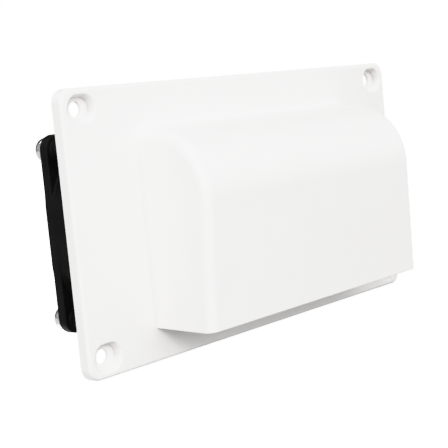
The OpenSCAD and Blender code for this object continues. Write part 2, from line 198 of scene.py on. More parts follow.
def carrier_field(x, y, z, boss_radius):
    """The collar behind the plate that carries the fans, its middle web and the screw bosses."""
    depth = np.maximum(y - COLLAR_BACK_Y, SKIN_BACK_Y - OVERLAP - y)
    outline = rounded_rect(x, z - FAN_Z, COLLAR_W, FAN_SIZE, FRAME_R)
    tube = blend_max(np.maximum(outline, -(outline + WALL)), depth, SMALL_R)
    web = np.maximum(np.abs(x) - WEB_HALF, np.abs(z - FAN_Z) - (FAN_SIZE / 2 - 1))
    web = blend_max(web, between(y, COLLAR_BACK_Y - WEB_T, COLLAR_BACK_Y), SMALL_R)
    boss = blend_max(boss_radius - BOSS_R, depth, 0.3)
    return blend_min(blend_min(tube, web, 0.8), boss, 0.5)


def cover_field(x, y, z):
    growth = np.clip((z - FOOT_GROWS_FROM_Z) / FOOT_GROWS_OVER, 0, 1)
    foot_r = FOOT_R + FOOT_R_GROWTH * growth
    body = blend_min(plate_field(x, y, z), hood_shell_field(x, y, z), foot_r)

    opening = rounded_rect(x, z - (OPENING_TOP + OPENING_BOTTOM) / 2,
                           HOOD_W - 2 * WALL, OPENING_TOP - OPENING_BOTTOM, OPENING_R)
    body = blend_max(body, -np.maximum(opening, FACE_Y - 4 - y), SMALL_R)

    u = np.abs(x) - HOLE_X
    v = np.abs(z) - HOLE_Z
    pad = blend_max(stadium(u, v, RECESS_HALF, PAD_R), between(y, FACE_Y + 1, 0), SMALL_R)
    pad = np.maximum(pad, rounded_rect(x, z, PLATE_W, PLATE_H, PLATE_R) + 0.6)
    body = blend_min(body, pad, 0.6)

    bx = np.abs(np.abs(x) - FAN_X) - FAN_PITCH / 2
    bz = np.abs(z - FAN_Z) - FAN_PITCH / 2
    boss_radius = np.hypot(bx, bz)
    body = blend_min(body, carrier_field(x, y, z, boss_radius), 0.6)
    body = np.maximum(body, -np.maximum(boss_radius - PILOT_R, COLLAR_BACK_Y - PILOT_D - y))

    body = blend_max(body, -recess_field(x, y, z), 0.3)
    return blend_max(body, HOLE_R - np.hypot(u, v), 0.3)


# ---------- surface of a field ----------


def stations(*spans):
    """Grid lines along an axis: each span is (start, end, step), and spans meet end to end."""
    parts = []
    for start, end, step in spans:
        count = max(1, round((end - start) / step))
        parts.append(np.linspace(start, end, count, endpoint=False))
    parts.append([spans[-1][1]])
    return np.concatenate(parts)


def mirrored(*spans):
    """Stations on both sides of zero, from spans given for the positive side."""
    half = stations(*spans)
    return np.concatenate([-half[:0:-1], half])


def sample(field, xs, ys, zs):
    """The field's values on the grid, worked out in blocks to keep memory small."""
    grid = np.empty((len(xs), len(ys), len(zs)))
    block = 24
    for start in range(0, len(xs), block):
        part = xs[start:start + block]
        x, y, z = np.meshgrid(part, ys, zs, indexing="ij")
        grid[start:start + block] = field(x, y, z)
    return grid


def gradient(field, points, step=0.02):
    """Slope of the field at each point, by central differences."""
    columns = []
    for axis in range(3):
        shift = np.zeros(3)
        shift[axis] = step
        ahead = field(*(points + shift).T)
        behind = field(*(points - shift).T)
        columns.append((ahead - behind) / (2 * step))
    return np.stack(columns, axis=1)


def surface(field, xs, ys, zs):
    """Vertices, quads and normals of the field's zero surface, by surface nets on an uneven grid."""
    grid = sample(field, xs, ys, zs)
    inside = grid < 0
    axes = (xs, ys, zs)
    cells = tuple(n - 1 for n in grid.shape)
    total = np.zeros(cells + (3,))
    count = np.zeros(cells)
    crossings = []
    for axis in range(3):
        a = [slice(None)] * 3
        b = [slice(None)] * 3
        a[axis] = slice(None, -1)
        b[axis] = slice(1, None)
        cross = inside[tuple(a)] != inside[tuple(b)]
        index = np.argwhere(cross)
        ga = grid[tuple(a)][cross]
        gb = grid[tuple(b)][cross]
        t = ga / (ga - gb)
        point = np.stack([axes[k][index[:, k]] for k in range(3)], axis=1)
        near = axes[axis][index[:, axis]]
        far = axes[axis][index[:, axis] + 1]
        point[:, axis] = near + t * (far - near)
        others = [k for k in range(3) if k != axis]
        for du in (0, 1):
            for dv in (0, 1):
                cell = index.copy()
                cell[:, others[0]] -= du
                cell[:, others[1]] -= dv
                flat = tuple(cell.T)
                np.add.at(total, flat, point)
                np.add.at(count, flat, 1)
        crossings.append((index, ga < 0, others))
    used = count > 0
    number = np.full(cells, -1)
    number[used] = np.arange(used.sum())
    points = total[used] / count[used][:, None]

    quads = []
    for axis, (index, from_inside, others) in enumerate(crossings):
        ring = []
        for du, dv in ((0, 0), (1, 0), (1, 1), (0, 1)):
            cell = index.copy()
            cell[:, others[0]] -= du
            cell[:, others[1]] -= dv
            ring.append(number[tuple(cell.T)])
        quad = np.stack(ring, axis=1)
        flip = from_inside if axis == 1 else ~from_inside
        quad[flip] = quad[flip][:, ::-1]
        quads.append(quad)
    quads = np.concatenate(quads)

    longest_step = 0.5
    for _ in range(4):
        slope = gradient(field, points)
        steep = np.maximum((slope ** 2).sum(axis=1), 0.2)
        move = -(field(*points.T) / steep)[:, None] * slope
        length = np.linalg.norm(move, axis=1)[:, None]
        points = points + move * np.minimum(1, longest_step / np.maximum(length, 1e-9))
    normals = gradient(field, points)
    normals /= np.maximum(np.linalg.norm(normals, axis=1), 1e-9)[:, None]
    return points, quads, normals


def mesh_object(name, points, faces, normals=None, material=None):
    """An object from arrays in millimetres; faces all have the same number of corners."""
    faces = np.asarray(faces)
    corners = faces.shape[1]
    mesh = bpy.data.meshes.new(name)
    mesh.vertices.add(len(points))
    mesh.vertices.foreach_set("co", (np.asarray(points) * MM).astype(np.float32).ravel())
    mesh.loops.add(faces.size)
    mesh.loops.foreach_set("vertex_index", faces.astype(np.int32).ravel())
    mesh.polygons.add(len(faces))
    mesh.polygons.foreach_set("loop_start", np.arange(0, faces.size, corners, dtype=np.int32))
    mesh.update(calc_edges=True)
    mesh.polygons.foreach_set("use_smooth", np.ones(len(faces), bool))
    if normals is not None:
        mesh.normals_split_custom_set_from_vertices(normals.tolist())
    obj = bpy.data.objects.new(name, mesh)
    bpy.context.scene.collection.objects.link(obj)
    if material is not None:
        mesh.materials.append(material)
    return obj


# ---------- materials ----------


class Nodes:
    """Adds shader nodes to a tree and links them as it goes."""

    def __init__(self, tree):
        self.tree = tree

    def node(self, kind, inputs=None, **settings):
        made = self.tree.nodes.new(kind)
        for key, value in settings.items():
            setattr(made, key, value)
        for key, value in (inputs or {}).items():
            if isinstance(value, bpy.types.NodeSocket):
                self.tree.links.new(value, made.inputs[key])
            else:
                made.inputs[key].default_value = value
        return made

    def ramp(self, value, low, high, start=0.3, end=0.7):
        made = self.node("ShaderNodeMapRange", {"Value": value, "From Min": start, "From Max": end,
                                                "To Min": low, "To Max": high})
        return made.outputs[0]

    def math(self, operation, a, b):
        return self.node("ShaderNodeMath", {0: a, 1: b}, operation=operation).outputs[0]

    def dot(self, a, b):
        return self.node("ShaderNodeVectorMath", {0: a, 1: b}, operation="DOT_PRODUCT").outputs["Value"]

    def light_path(self, kind):
        return self.node("ShaderNodeLightPath").outputs[kind]


class Shader(Nodes):
    """A node material built step by step. Sizes of noise are in millimetres."""

    def __init__(self, name, **values):
        self.material = bpy.data.materials.new(name)
        self.material.use_nodes = True
        super().__init__(self.material.node_tree)
        self.tree.nodes.clear()
        self.surface = self.tree.nodes.new("ShaderNodeBsdfPrincipled")
        output = self.tree.nodes.new("ShaderNodeOutputMaterial")
        self.tree.links.new(self.surface.outputs[0], output.inputs[0])
        self.place = self.tree.nodes.new("ShaderNodeTexCoord").outputs["Object"]
        for key, value in values.items():
            self.surface.inputs[key.replace("_", " ")].default_value = value

    def noise(self, size, detail=2.0, stretch=(1, 1, 1)):
        scaled = self.node("ShaderNodeVectorMath", {0: self.place, 1: stretch}, operation="MULTIPLY")
        made = self.node("ShaderNodeTexNoise", {"Vector": scaled.outputs[0], "Detail": detail,
                                                "Scale": 1000 / size})
        return made.outputs["Fac"]

    def mix(self, factor, a, b):
        made = self.node("ShaderNodeMix", {0: factor, 6: a, 7: b}, data_type="RGBA")
        return made.outputs[2]

    def edges(self, radius=0.5):
        """1 on edges rounder than the radius in millimetres, 0 on flat stretches."""
        bevel = self.node("ShaderNodeBevel", {"Radius": radius * MM}, samples=4)
        flat = self.node("ShaderNodeNewGeometry").outputs["Normal"]
        return self.ramp(self.dot(bevel.outputs[0], flat), 1.0, 0.0, 0.9, 0.995)

    def hollow(self, distance):
        """Rises from 0 on open faces to 1 deep in corners narrower than the distance."""
        open_sky = self.node("ShaderNodeAmbientOcclusion", {"Distance": distance * MM}, samples=6,
                             only_local=True).outputs["AO"]
        return self.math("SUBTRACT", 1.0, open_sky)

    def near_screw_holes(self, reach):
        """1 within the reach in millimetres of a wall screw hole, fading to 0 just outside."""
        fold = self.node("ShaderNodeVectorMath", {0: self.place}, operation="ABSOLUTE").outputs[0]
        flat = self.node("ShaderNodeVectorMath", {0: fold, 1: (1, 0, 1)}, operation="MULTIPLY")
        hole = (HOLE_X * MM, 0, HOLE_Z * MM)
        away = self.node("ShaderNodeVectorMath", {0: flat.outputs[0], 1: hole}, operation="DISTANCE")
        return self.ramp(away.outputs["Value"], 1, 0, reach * MM, (reach + 1.5) * MM)

    def steep_walls(self):
        """1 on walls that face sideways or down, 0 on faces seen from the front or facing up."""
        normal = self.node("ShaderNodeNewGeometry").outputs["Normal"]
        parts = self.node("ShaderNodeSeparateXYZ", {0: normal}).outputs
        flat = self.math("ABSOLUTE", parts["Y"], 0)
        sideways = self.ramp(flat, 1, 0, 0.4, 0.85)
        return self.math("MULTIPLY", sideways, self.ramp(parts["Z"], 1, 0, 0, 0.8))

    def bump(self, height, depth):
        """Relief of the given depth in millimetres where the height value runs from 0 to 1."""
        made = self.node("ShaderNodeBump", {"Height": height, "Strength": 1.0,
                                            "Distance": depth * MM})
        self.set("Normal", made.outputs[0])

    def set(self, key, value):
        self.tree.links.new(value, self.surface.inputs[key])


def grey(level, tint=(0, 0, 0)):
    return (level + tint[0], level + tint[1], level + tint[2], 1)


def cover_plastic():
    """Satin white plastic: fine moulded grain, with painted shade in creases and on the steep, sideways-
    and down-facing walls of the screw recesses.
    """
    s = Shader("cover_plastic", IOR=1.5, Specular_IOR_Level=0.5)
    cloud = s.noise(38, 3)
    tone = s.mix(s.ramp(cloud, 0, 1), (0.875, 0.856, 0.838, 1), (0.905, 0.888, 0.872, 1))
    # painted shade: occlusion darkening mixed into the colour in tight creases
    crease_shade = s.ramp(s.hollow(2), 0, 0.45, 0.18, 0.42)
    tone = s.mix(crease_shade, tone, (0.45, 0.43, 0.42, 1))
    # painted shade: strong occlusion darkening on the screw recesses' walls that face sideways or down,
    # away from the light
    recess_shade = s.math("MULTIPLY", s.ramp(s.hollow(5), 0, 0.92, 0.1, 0.45), s.near_screw_holes(8))
    recess_shade = s.math("MULTIPLY", recess_shade, s.steep_walls())
    s.set("Base Color", s.mix(recess_shade, tone, (0.2, 0.19, 0.185, 1)))
    s.set("Roughness", s.ramp(s.noise(9, 3), 0.29, 0.38))
    grain = s.noise(0.7, 2)
    waves = s.noise(26, 1)
    s.bump(s.math("ADD", s.math("MULTIPLY", grain, 0.16), waves), 0.05)
    return s.material


def fan_plastic():
    """Black glass-filled plastic, spark-eroded, a little paler where edges rub."""
    s = Shader("fan_plastic", IOR=1.5, Specular_IOR_Level=0.05)
    tone = s.mix(s.ramp(s.noise(12, 3), 0, 1), (0.0025, 0.0025, 0.0027, 1), (0.005, 0.005, 0.0052, 1))
    worn = s.math("MULTIPLY", s.edges(0.5), s.ramp(s.noise(4, 3), 0.15, 0.9))
    s.set("Base Color", s.mix(worn, tone, (0.014, 0.014, 0.0145, 1)))
    s.set("Roughness", s.ramp(s.noise(1.5, 3), 0.42, 0.62))
    s.bump(s.noise(0.45, 2), 0.03)
    return s.material


def screw_chrome():
    """Bright plating with fine polishing marks, and a painted dark reflection where it is seen edge-on."""
    s = Shader("screw_chrome", Metallic=1.0)
    bright = s.mix(s.ramp(s.noise(2.5, 3), 0, 1), (0.55, 0.55, 0.56, 1), (0.76, 0.76, 0.77, 1))
    # painted reflection: base colour darkened at grazing angles to stand in for dark surroundings mirrored
    # in the plating
    facing = s.node("ShaderNodeLayerWeight", {"Blend": 0.5}).outputs["Facing"]
    s.set("Base Color", s.mix(s.ramp(facing, 0, 0.8, 0.6, 0.95), bright, grey(0.07)))
    s.set("Roughness", s.ramp(s.noise(1.2, 3), 0.08, 0.2))
    s.bump(s.noise(0.5, 3, (1, 4, 1)), 0.012)
    return s.material


def steel(name, tone, rough, stretch=(1, 1, 1)):
    """Turned or pressed metal with fine machining marks."""
    s = Shader(name, Metallic=1.0)
    low = grey(tone * 0.8)
    high = grey(tone)
    s.set("Base Color", s.mix(s.ramp(s.noise(3, 3, stretch), 0, 1), low, high))
    s.set("Roughness", s.ramp(s.noise(1.0, 3, stretch), rough * 0.8, rough * 1.25))
    s.bump(s.noise(0.35, 2, stretch), 0.01)
    return s.material


def yoke_steel():
    return steel("yoke_steel", 0.5, 0.34)


def shaft_steel():
    return steel("shaft_steel", 0.68, 0.16, (1, 3, 1))


def magnet():
    """Bonded ferrite: nearly black, with a powdery grain."""
    s = Shader("magnet", Specular_IOR_Level=0.3)
    s.set("Base Color", s.mix(s.ramp(s.noise(0.9, 3), 0, 1), grey(0.018), grey(0.045, (0.004, 0.002, 0))))
    s.set("Roughness", s.ramp(s.noise(1.4, 2), 0.55, 0.8))
    s.bump(s.noise(0.3, 3), 0.03)
    return s.material


def bearing_bronze():
    """Sintered bronze with open pores and a film of oil."""
    s = Shader("bearing_bronze", Metallic=1.0)
    pores = s.ramp(s.noise(0.35, 2), 0, 1, 0.52, 0.66)
    s.set("Base Color", s.mix(pores, (0.55, 0.33, 0.13, 1), (0.16, 0.09, 0.04, 1)))
    s.set("Roughness", s.ramp(pores, 0.28, 0.6, 0, 1))
    s.bump(pores, -0.03)
    return s.material


def washer_plastic():
    s = Shader("washer_plastic", Subsurface_Weight=0.1)
    s.set("Base Color", s.mix(s.ramp(s.noise(1.2, 2), 0, 1), (0.6, 0.59, 0.52, 1), (0.68, 0.67, 0.6, 1)))
    s.set("Roughness", s.ramp(s.noise(0.8, 2), 0.35, 0.5))
    s.bump(s.noise(0.4, 2), 0.01)
    return s.material


def core_steel():
    """Stacked laminations: fine dark lines across the stack, which runs along Y."""
    s = Shader("core_steel", Metallic=1.0)
    wave = s.node("ShaderNodeTexWave", {"Vector": s.place, "Scale": 320.0, "Distortion": 0.3},
                  bands_direction="Y")
    lines = s.ramp(wave.outputs["Fac"], 0, 1, 0.2, 0.5)
    s.set("Base Color", s.mix(lines, grey(0.12), grey(0.42)))
    s.set("Roughness", s.ramp(s.noise(1.0, 2), 0.35, 0.55))
    s.bump(lines, 0.03)
    return s.material


def former_plastic():
    s = Shader("former_plastic", Specular_IOR_Level=0.4)
    s.set("Base Color", s.mix(s.ramp(s.noise(2, 2), 0, 1), (0.62, 0.56, 0.4, 1), (0.7, 0.64, 0.48, 1)))
    s.set("Roughness", s.ramp(s.noise(1, 2), 0.4, 0.6))
    s.bump(s.noise(0.5, 2), 0.015)
    return s.material


def copper():
    """Enamelled wire laid in turns along Y."""
    s = Shader("copper", Metallic=1.0, Coat_Weight=0.5, Coat_Roughness=0.15)
    wave = s.node("ShaderNodeTexWave", {"Vector": s.place, "Scale": 480.0, "Distortion": 0.6},
                  bands_direction="Y", wave_profile="SIN")
    turns = wave.outputs["Fac"]
    s.set("Base Color", s.mix(s.ramp(turns, 0, 1, 0.1, 0.9), (0.22, 0.07, 0.03, 1), (0.72, 0.27, 0.11, 1)))
    s.set("Roughness", s.ramp(s.noise(0.8, 2), 0.22, 0.36))
    s.bump(turns, 0.12)
    return s.material


def board():
    """Green solder mask with faint tracks under it."""
    s = Shader("board", Coat_Weight=0.3, Coat_Roughness=0.2)
    tracks = s.node("ShaderNodeTexVoronoi", {"Vector": s.place, "Scale": 420.0},
                    feature="DISTANCE_TO_EDGE").outputs["Distance"]
    line = s.ramp(tracks, 1, 0, 0.03, 0.08)
    s.set("Base Color", s.mix(line, (0.008, 0.06, 0.028, 1), (0.02, 0.12, 0.05, 1)))
    s.set("Roughness", s.ramp(s.noise(1.2, 2), 0.3, 0.5))
    s.bump(line, 0.02)
    return s.material


def sticker():
    """Blank matt foil label."""
    s = Shader("sticker", Metallic=0.35)
    s.set("Base Color", s.mix(s.ramp(s.noise(6, 3), 0, 1), grey(0.56), grey(0.66)))
    s.set("Roughness", s.ramp(s.noise(2, 3), 0.35, 0.55))
    s.bump(s.noise(1.6, 3), 0.015)
    return s.material


def lead_skin(name, colour):
    """PVC wire insulation."""
    s = Shader(name, Specular_IOR_Level=0.4)
    dark = tuple(c * 0.75 for c in colour)
    s.set("Base Color", s.mix(s.ramp(s.noise(3, 2), 0, 1), dark + (1,), tuple(colour) + (1,)))
    s.set("Roughness", s.ramp(s.noise(1.5, 2), 0.32, 0.5))
    s.bump(s.noise(0.6, 2), 0.015)
    return s.material


def lead_red():
    return lead_skin("lead_red", (0.5, 0.012, 0.01))


def lead_black():
    return lead_skin("lead_black", (0.018, 0.018, 0.018))


def tie_nylon():
    s = Shader("tie_nylon", Specular_IOR_Level=0.35)
    s.set("Base Color", s.mix(s.ramp(s.noise(2, 2), 0, 1), grey(0.012), grey(0.02)))
    s.set("Roughness", s.ramp(s.noise(1, 2), 0.35, 0.5))
    s.bump(s.noise(0.6, 2), 0.02)
    return s.material


def plug_nylon():
    s = Shader("plug_nylon", Subsurface_Weight=0.15, Subsurface_Scale=0.001)
    s.set("Base Color", s.mix(s.ramp(s.noise(5, 2), 0, 1), (0.7, 0.68, 0.6, 1), (0.78, 0.76, 0.68, 1)))
    s.set("Roughness", s.ramp(s.noise(1.5, 2), 0.38, 0.52))
    s.bump(s.noise(0.8, 2), 0.02)
    return s.material


def pin_metal():
    s = Shader("pin_metal", Metallic=1.0)
    s.set("Base Color", s.mix(s.ramp(s.noise(1.5, 2), 0, 1), (0.6, 0.52, 0.34, 1), (0.75, 0.68, 0.5, 1)))
    s.set("Roughness", s.ramp(s.noise(0.8, 2), 0.2, 0.34))
    s.bump(s.noise(0.4, 2), 0.008)
    return s.material


def seal_foam():
    """Closed-cell foam tape with a skin of small pores."""
    s = Shader("seal_foam", Specular_IOR_Level=0.2)
    pores = s.node("ShaderNodeTexVoronoi", {"Vector": s.place, "Scale": 1600.0}).outputs["Distance"]
    s.set("Base Color", s.mix(s.ramp(pores, 0, 1, 0.1, 0.6), grey(0.012), grey(0.04)))
    s.set("Roughness", s.ramp(s.noise(3, 2), 0.8, 0.95))
    s.bump(pores, 0.15)
    return s.material


SLOT_MAKERS = [cover_plastic, fan_plastic, screw_chrome, yoke_steel, shaft_steel, magnet,
               bearing_bronze, washer_plastic, core_steel, former_plastic, copper, board, sticker,
               lead_red, lead_black, tie_nylon, plug_nylon, pin_metal, seal_foam]
materials = {maker.__name__: maker() for maker in SLOT_MAKERS}


def dress_frame():
    """Gives each CAD node the material of its slot in the record."""
    for part in frame["record"]["subparts"]:
        obj = frame["nodes"][part["node"]]
        obj.data.materials.clear()
        obj.data.materials.append(materials[part["material_slot"]])


# ---------- pieces ----------


def add_piece(name, node, body, slot, mesh):
    """A piece that takes a CAD node's place on its body; mesh is points, faces and maybe normals."""
    points, faces, normals = (*mesh, None)[:3]
    obj = mesh_object(name, points, faces, normals, materials[slot])
    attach(obj, body)
    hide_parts(node)


def cover():
    """The white moulding: plate, rain hood, screw recesses and the collar behind."""
    xs = mirrored((0, 5, 1.7), (5, 15, 1.0), (15, 58, 2.4), (58, 76, 0.66), (76, 88, 0.95),
                  (88, 107, 0.6))
    ys = stations((HOOD_FRONT_Y - 1, -32, 0.85), (-32, -8, 1.4), (-8, 0.8, 0.46),
                  (0.8, 7.6, 1.6), (7.6, COLLAR_BACK_Y + 0.6, 0.6))
    zs = stations((-55, -39, 0.56), (-39, -32, 0.9), (-32, -2, 1.9), (-2, 26, 1.2), (26, 39, 0.8),
                  (39, 55, 0.56))
    add_piece("cover_moulding", "hood_plate", "housing", "cover_plastic",
              surface(cover_field, xs, ys, zs))


# Fan, design values shared with the CAD model; z runs from the outlet face to the intake
FAN_D = FAN_BACK_Y - FAN_FRONT_Y
DUCT_R = 38.0
DUCT_WALL_R = 42.1
FLANGE_T = 4.2
LIP_T = 2.4
LIP_GROW = 1.2
COLUMN_R = 3.7
FRAME_HOLE_R = 2.15
BASE_R = 17.0
BASE_LOW = 0.4
BASE_HIGH = 2.8
STRUT_W = 3.2
STRUT_T = 3.0
CHANNEL_W = 8.0
CHANNEL_TOP = 3.9
NOTCH_W = 5.0
NOTCH_TOP = 2.7
TUBE_R = 4.0
BUSH_R = 3.0
TUBE_TOP = 13.4
HUB_R = 17.5
HUB_LOW = 4.4
HUB_HIGH = 19.4
HUB_WALL = 1.5
YOKE_HIGH = 17.4
SHAFT_R = 1.5
SHAFT_HIGH = 18.0
BLADES = 7
BLADE_TIP_R = 36.8
BLADE_MID_Z = 12.3
BLADE_LOW = 5.2
BLADE_T = 1.8
ROOT_PITCH = 41
PITCH_LOSS = 13
ROOT_CHORD = 19
CHORD_GAIN = 3.5
CAMBER = 2.2
FAN_EDGE_R = 0.5
FLUSH_INSET = 0.3
TIP_THINNING = 0.3
BLADE_SWEEP = 0.12
EDGE_THICKNESS_SHARE = 0.4
LABEL_DISH_R = 9
LABEL_DISH_D = 0.35


def at_fan(side, points):
    """Turns points from a fan's own frame into the object's frame; side is -1 or 1."""
    x, y, z = (-side * points).T[0], (-side * points).T[1], points.T[2]
    return np.stack([side * FAN_X + x, FAN_FRONT_Y + z, FAN_Z - y], axis=1)


def turn_to_fan(side, vectors):
    """The same turn for directions, which don't move."""
    x, y, z = (-side * vectors).T[0], (-side * vectors).T[1], vectors.T[2]
    return np.stack([x, z, -y], axis=1)


def screw_radius(x, y):
    return np.hypot(np.abs(x) - FAN_PITCH / 2, np.abs(y) - FAN_PITCH / 2)


def fan_shell_field(x, y, z):
    """Two square flanges, the round duct wall cut flush with their sides, and screw columns."""
    square = rounded_rect(x, y, FAN_SIZE, FAN_SIZE, FRAME_R)
    low = blend_max(square, between(z, 0, FLANGE_T), FAN_EDGE_R)
    high = blend_max(square, between(z, FAN_D - FLANGE_T, FAN_D), FAN_EDGE_R)
    slab = between(z, 0, FAN_D)
    radius = np.hypot(x, y)
    flat = np.maximum(np.abs(x), np.abs(y)) - (FAN_SIZE / 2 - FLUSH_INSET)
    duct = np.maximum(blend_max(radius - DUCT_WALL_R, flat, FAN_EDGE_R), slab)
    column = np.maximum(screw_radius(x, y) - COLUMN_R, slab)
    body = blend_min(np.minimum(low, high), duct, 0.8)
    body = blend_min(body, column, 0.6)
    end_share = np.clip(1 - z / LIP_T, 0, 1) ** 2 + np.clip(1 - (FAN_D - z) / LIP_T, 0, 1) ** 2
    return blend_max(body, DUCT_R + LIP_GROW * end_share - radius, 0.4)


def motor_mount_field(x, y, z):
    """The motor's base plate and bearing tube, three struts and the channel for the leads."""
    radius = np.hypot(x, y)
    base = blend_max(radius - BASE_R, between(z, BASE_LOW, BASE_HIGH), 0.4)
    tower = blend_max(radius - TUBE_R, np.maximum(z - TUBE_TOP, BASE_LOW - z), 0.3)
    reach = radius - DUCT_R - 1
    strut_z = between(z, BASE_LOW, BASE_LOW + STRUT_T)
    up = blend_max(np.abs(x) - STRUT_W / 2, strut_z, 0.7)
    across = blend_max(np.abs(y) - STRUT_W / 2, np.maximum(strut_z, x), 0.7)
    struts = np.maximum(np.minimum(up, across), np.maximum(reach, BASE_R - 2 - radius))
    channel = blend_max(np.abs(y) - CHANNEL_W / 2, between(z, BASE_LOW, CHANNEL_TOP), 0.5)
    channel = np.maximum(channel, np.maximum(BASE_R - 3 - x, reach))
    return blend_min(blend_min(base, tower, 0.5), np.minimum(struts, channel), 0.6)


def fan_frame_field(x, y, z):
    body = blend_min(fan_shell_field(x, y, z), motor_mount_field(x, y, z), 0.8)
    notch = np.maximum(np.abs(y) - NOTCH_W / 2, np.maximum(z - NOTCH_TOP, BASE_R - 4 - x))
    body = blend_max(body, -notch, 0.25)
    body = blend_max(body, BUSH_R - np.hypot(x, y), 0.2)
    return blend_max(body, FRAME_HOLE_R - screw_radius(x, y), 0.3)


def blade_field(x, y, z):
    """All blades: cambered, thinner towards the tip and twisted from root to tip."""
    radius = np.hypot(x, y)
    out = np.clip((radius - HUB_R) / (BLADE_TIP_R - HUB_R), 0, 1)
    pitch = np.radians(ROOT_PITCH - PITCH_LOSS * out)
    chord = ROOT_CHORD + CHORD_GAIN * out
    thick = BLADE_T * (1 - TIP_THINNING * out)
    spacing = 2 * math.pi / BLADES
    angle = np.mod(np.arctan2(y, x) + BLADE_SWEEP * out, spacing)
    best = np.full_like(radius, 1e3)
    for turn in (-1, 0, 1, 2):
        along = (angle - turn * spacing) * radius
        rise = z - BLADE_MID_Z
        p = along * np.cos(pitch) + rise * np.sin(pitch)
        q = -along * np.sin(pitch) + rise * np.cos(pitch)
        share = 2 * p / chord
        camber = CAMBER * (1 - share ** 2) - CAMBER / 2
        taper = thick / 2 * np.sqrt(np.clip(1.05 - share ** 2, EDGE_THICKNESS_SHARE, 1))
        sheet = (np.abs(q - camber) - taper) * 0.85
        best = np.minimum(best, blend_max(sheet, np.abs(p) - chord / 2, 0.35))
    limit = np.maximum(radius - BLADE_TIP_R, HUB_R - 1 - radius)
    return blend_max(best, np.maximum(limit, np.maximum(BLADE_LOW - z, z - HUB_HIGH)), 0.25)


def impeller_field(x, y, z):
    """Hub with a shallow dish for the label and a hollow for the motor, and the blades."""
    radius = np.hypot(x, y)
    hub = blend_max(radius - HUB_R, z - HUB_HIGH, 1.6)
    hub = blend_max(hub, HUB_LOW - z, 0.3)
    body = blend_min(hub, blade_field(x, y, z), 0.7)
    dish = np.hypot(np.maximum(radius - LABEL_DISH_R, 0), np.maximum(z - HUB_HIGH, 0)) - LABEL_DISH_D
    body = blend_max(body, -dish, 0.2)
    body = np.maximum(body, -np.maximum(radius - (HUB_R - HUB_WALL), z - YOKE_HIGH))
    return np.maximum(body, -np.maximum(radius - SHAFT_R, z - SHAFT_HIGH))


def fan_pieces():
    """Both frames and both impellers; the right-hand fan is the left one turned half round."""
    line = stations((-FAN_SIZE / 2 - 0.6, FAN_SIZE / 2 + 0.6, 0.72))
    depth = stations((-0.5, 5.0, 0.42), (5.0, 20.0, 1.1), (20.0, FAN_D + 0.5, 0.5))
    frame_mesh = surface(fan_frame_field, line, line, depth)
    line = stations((-BLADE_TIP_R - 0.8, BLADE_TIP_R + 0.8, 0.5))
    depth = stations((HUB_LOW - 0.6, HUB_HIGH + 0.6, 0.5))
    rotor_mesh = surface(impeller_field, line, line, depth)
    for side, word in ((-1, "left"), (1, "right")):
        for kind, mesh, body in (("fan_frame", frame_mesh, "housing"),
                                 ("impeller", rotor_mesh, word + "_rotor")):
            points, quads, normals = mesh
            placed = at_fan(side, points), quads, turn_to_fan(side, normals)
            add_piece(kind + "_shape_" + word, kind + "_" + word, body, "fan_plastic", placed)


# Screws that hold the fans, from the head's seat on the frame
SCREW_R = 1.95
SCREW_BITE = 8.0
WASHER_R = box_mm("fan_screws")[1][0] - FAN_X - FAN_PITCH / 2
WASHER_T = 0.8
HEAD_R = WASHER_R - 0.5
HEAD_H = 5.1
HEAD_SIDE_H = 2.4
SLOT_L = 4.4
SLOT_W = 0.9
SLOT_DEPTH = 1.8


def screw_field(x, y, z):
    """A screw along z, its seat at z = 0 and its head above."""
    radius = np.hypot(x, y)
    washer = blend_max(radius - WASHER_R, between(z, 0, WASHER_T), 0.25)
    rise = HEAD_H - HEAD_SIDE_H
    dome_r = (HEAD_R ** 2 + rise ** 2) / (2 * rise)
    top = WASHER_T + HEAD_H
    dome = np.hypot(radius, z - top + dome_r) - dome_r
    head = blend_max(blend_max(radius - HEAD_R, dome, 0.8), -z, 0.1)
    body = blend_min(washer, head, 0.25)
    taper = 1 - 0.25 * np.clip((top - z) / SLOT_DEPTH, 0, 1)
    cross = np.minimum(np.maximum(np.abs(x) - SLOT_L / 2 * taper, np.abs(y) - SLOT_W / 2),
                       np.maximum(np.abs(y) - SLOT_L / 2 * taper, np.abs(x) - SLOT_W / 2))
    body = blend_max(body, -np.maximum(cross, top - SLOT_DEPTH - z), 0.2)
    length = FAN_D + SCREW_BITE
    shank = blend_max(radius - SCREW_R, np.maximum(z, -length - z), 0.4)
    return np.minimum(body, shank)


def fan_screws():
    """Eight screws, each turned to a different angle as a screwdriver leaves them."""
    line = mirrored((0, 2.6, 0.25), (2.6, WASHER_R + 0.4, 0.35))
    depth = stations((-FAN_D - SCREW_BITE - 0.5, -FAN_D - SCREW_BITE + 1, 0.4),
                     (-FAN_D - SCREW_BITE + 1, -0.5, 6.0), (-0.5, WASHER_T + HEAD_H + 0.4, 0.27))
    points, quads, normals = surface(screw_field, line, line, depth)
    all_points = []
    all_quads = []
    all_normals = []
    half = FAN_PITCH / 2
    for side in (-1, 1):
        for index, (x, y) in enumerate(((-half, -half), (half, -half), (half, half), (-half, half))):
            turn = math.radians(17 + 41 * index + 13 * side)
            c, t = math.cos(turn), math.sin(turn)
            spin = np.array([[c, -t, 0], [t, c, 0], [0, 0, 1]])
            placed = points @ spin.T + (x, y, FAN_D)
            all_quads.append(quads + len(points) * len(all_points))
            all_points.append(at_fan(side, placed))
            all_normals.append(turn_to_fan(side, normals @ spin.T))
    together = np.concatenate(all_points), np.concatenate(all_quads), np.concatenate(all_normals)
    add_piece("screw_set", "fan_screws", "housing", "screw_chrome", together)


# ---------- wiring ----------

LEAD_R = 0.7
LEAD_SIDES = 14
LEAD_OFFSET = 0.85
LEAD_DEPTH = 1.7
LEAD_INSET = 14.4
TIE_Y = FAN_BACK_Y + 6
PLUG_Y = FAN_BACK_Y + 17
PIN_OFFSET = 2


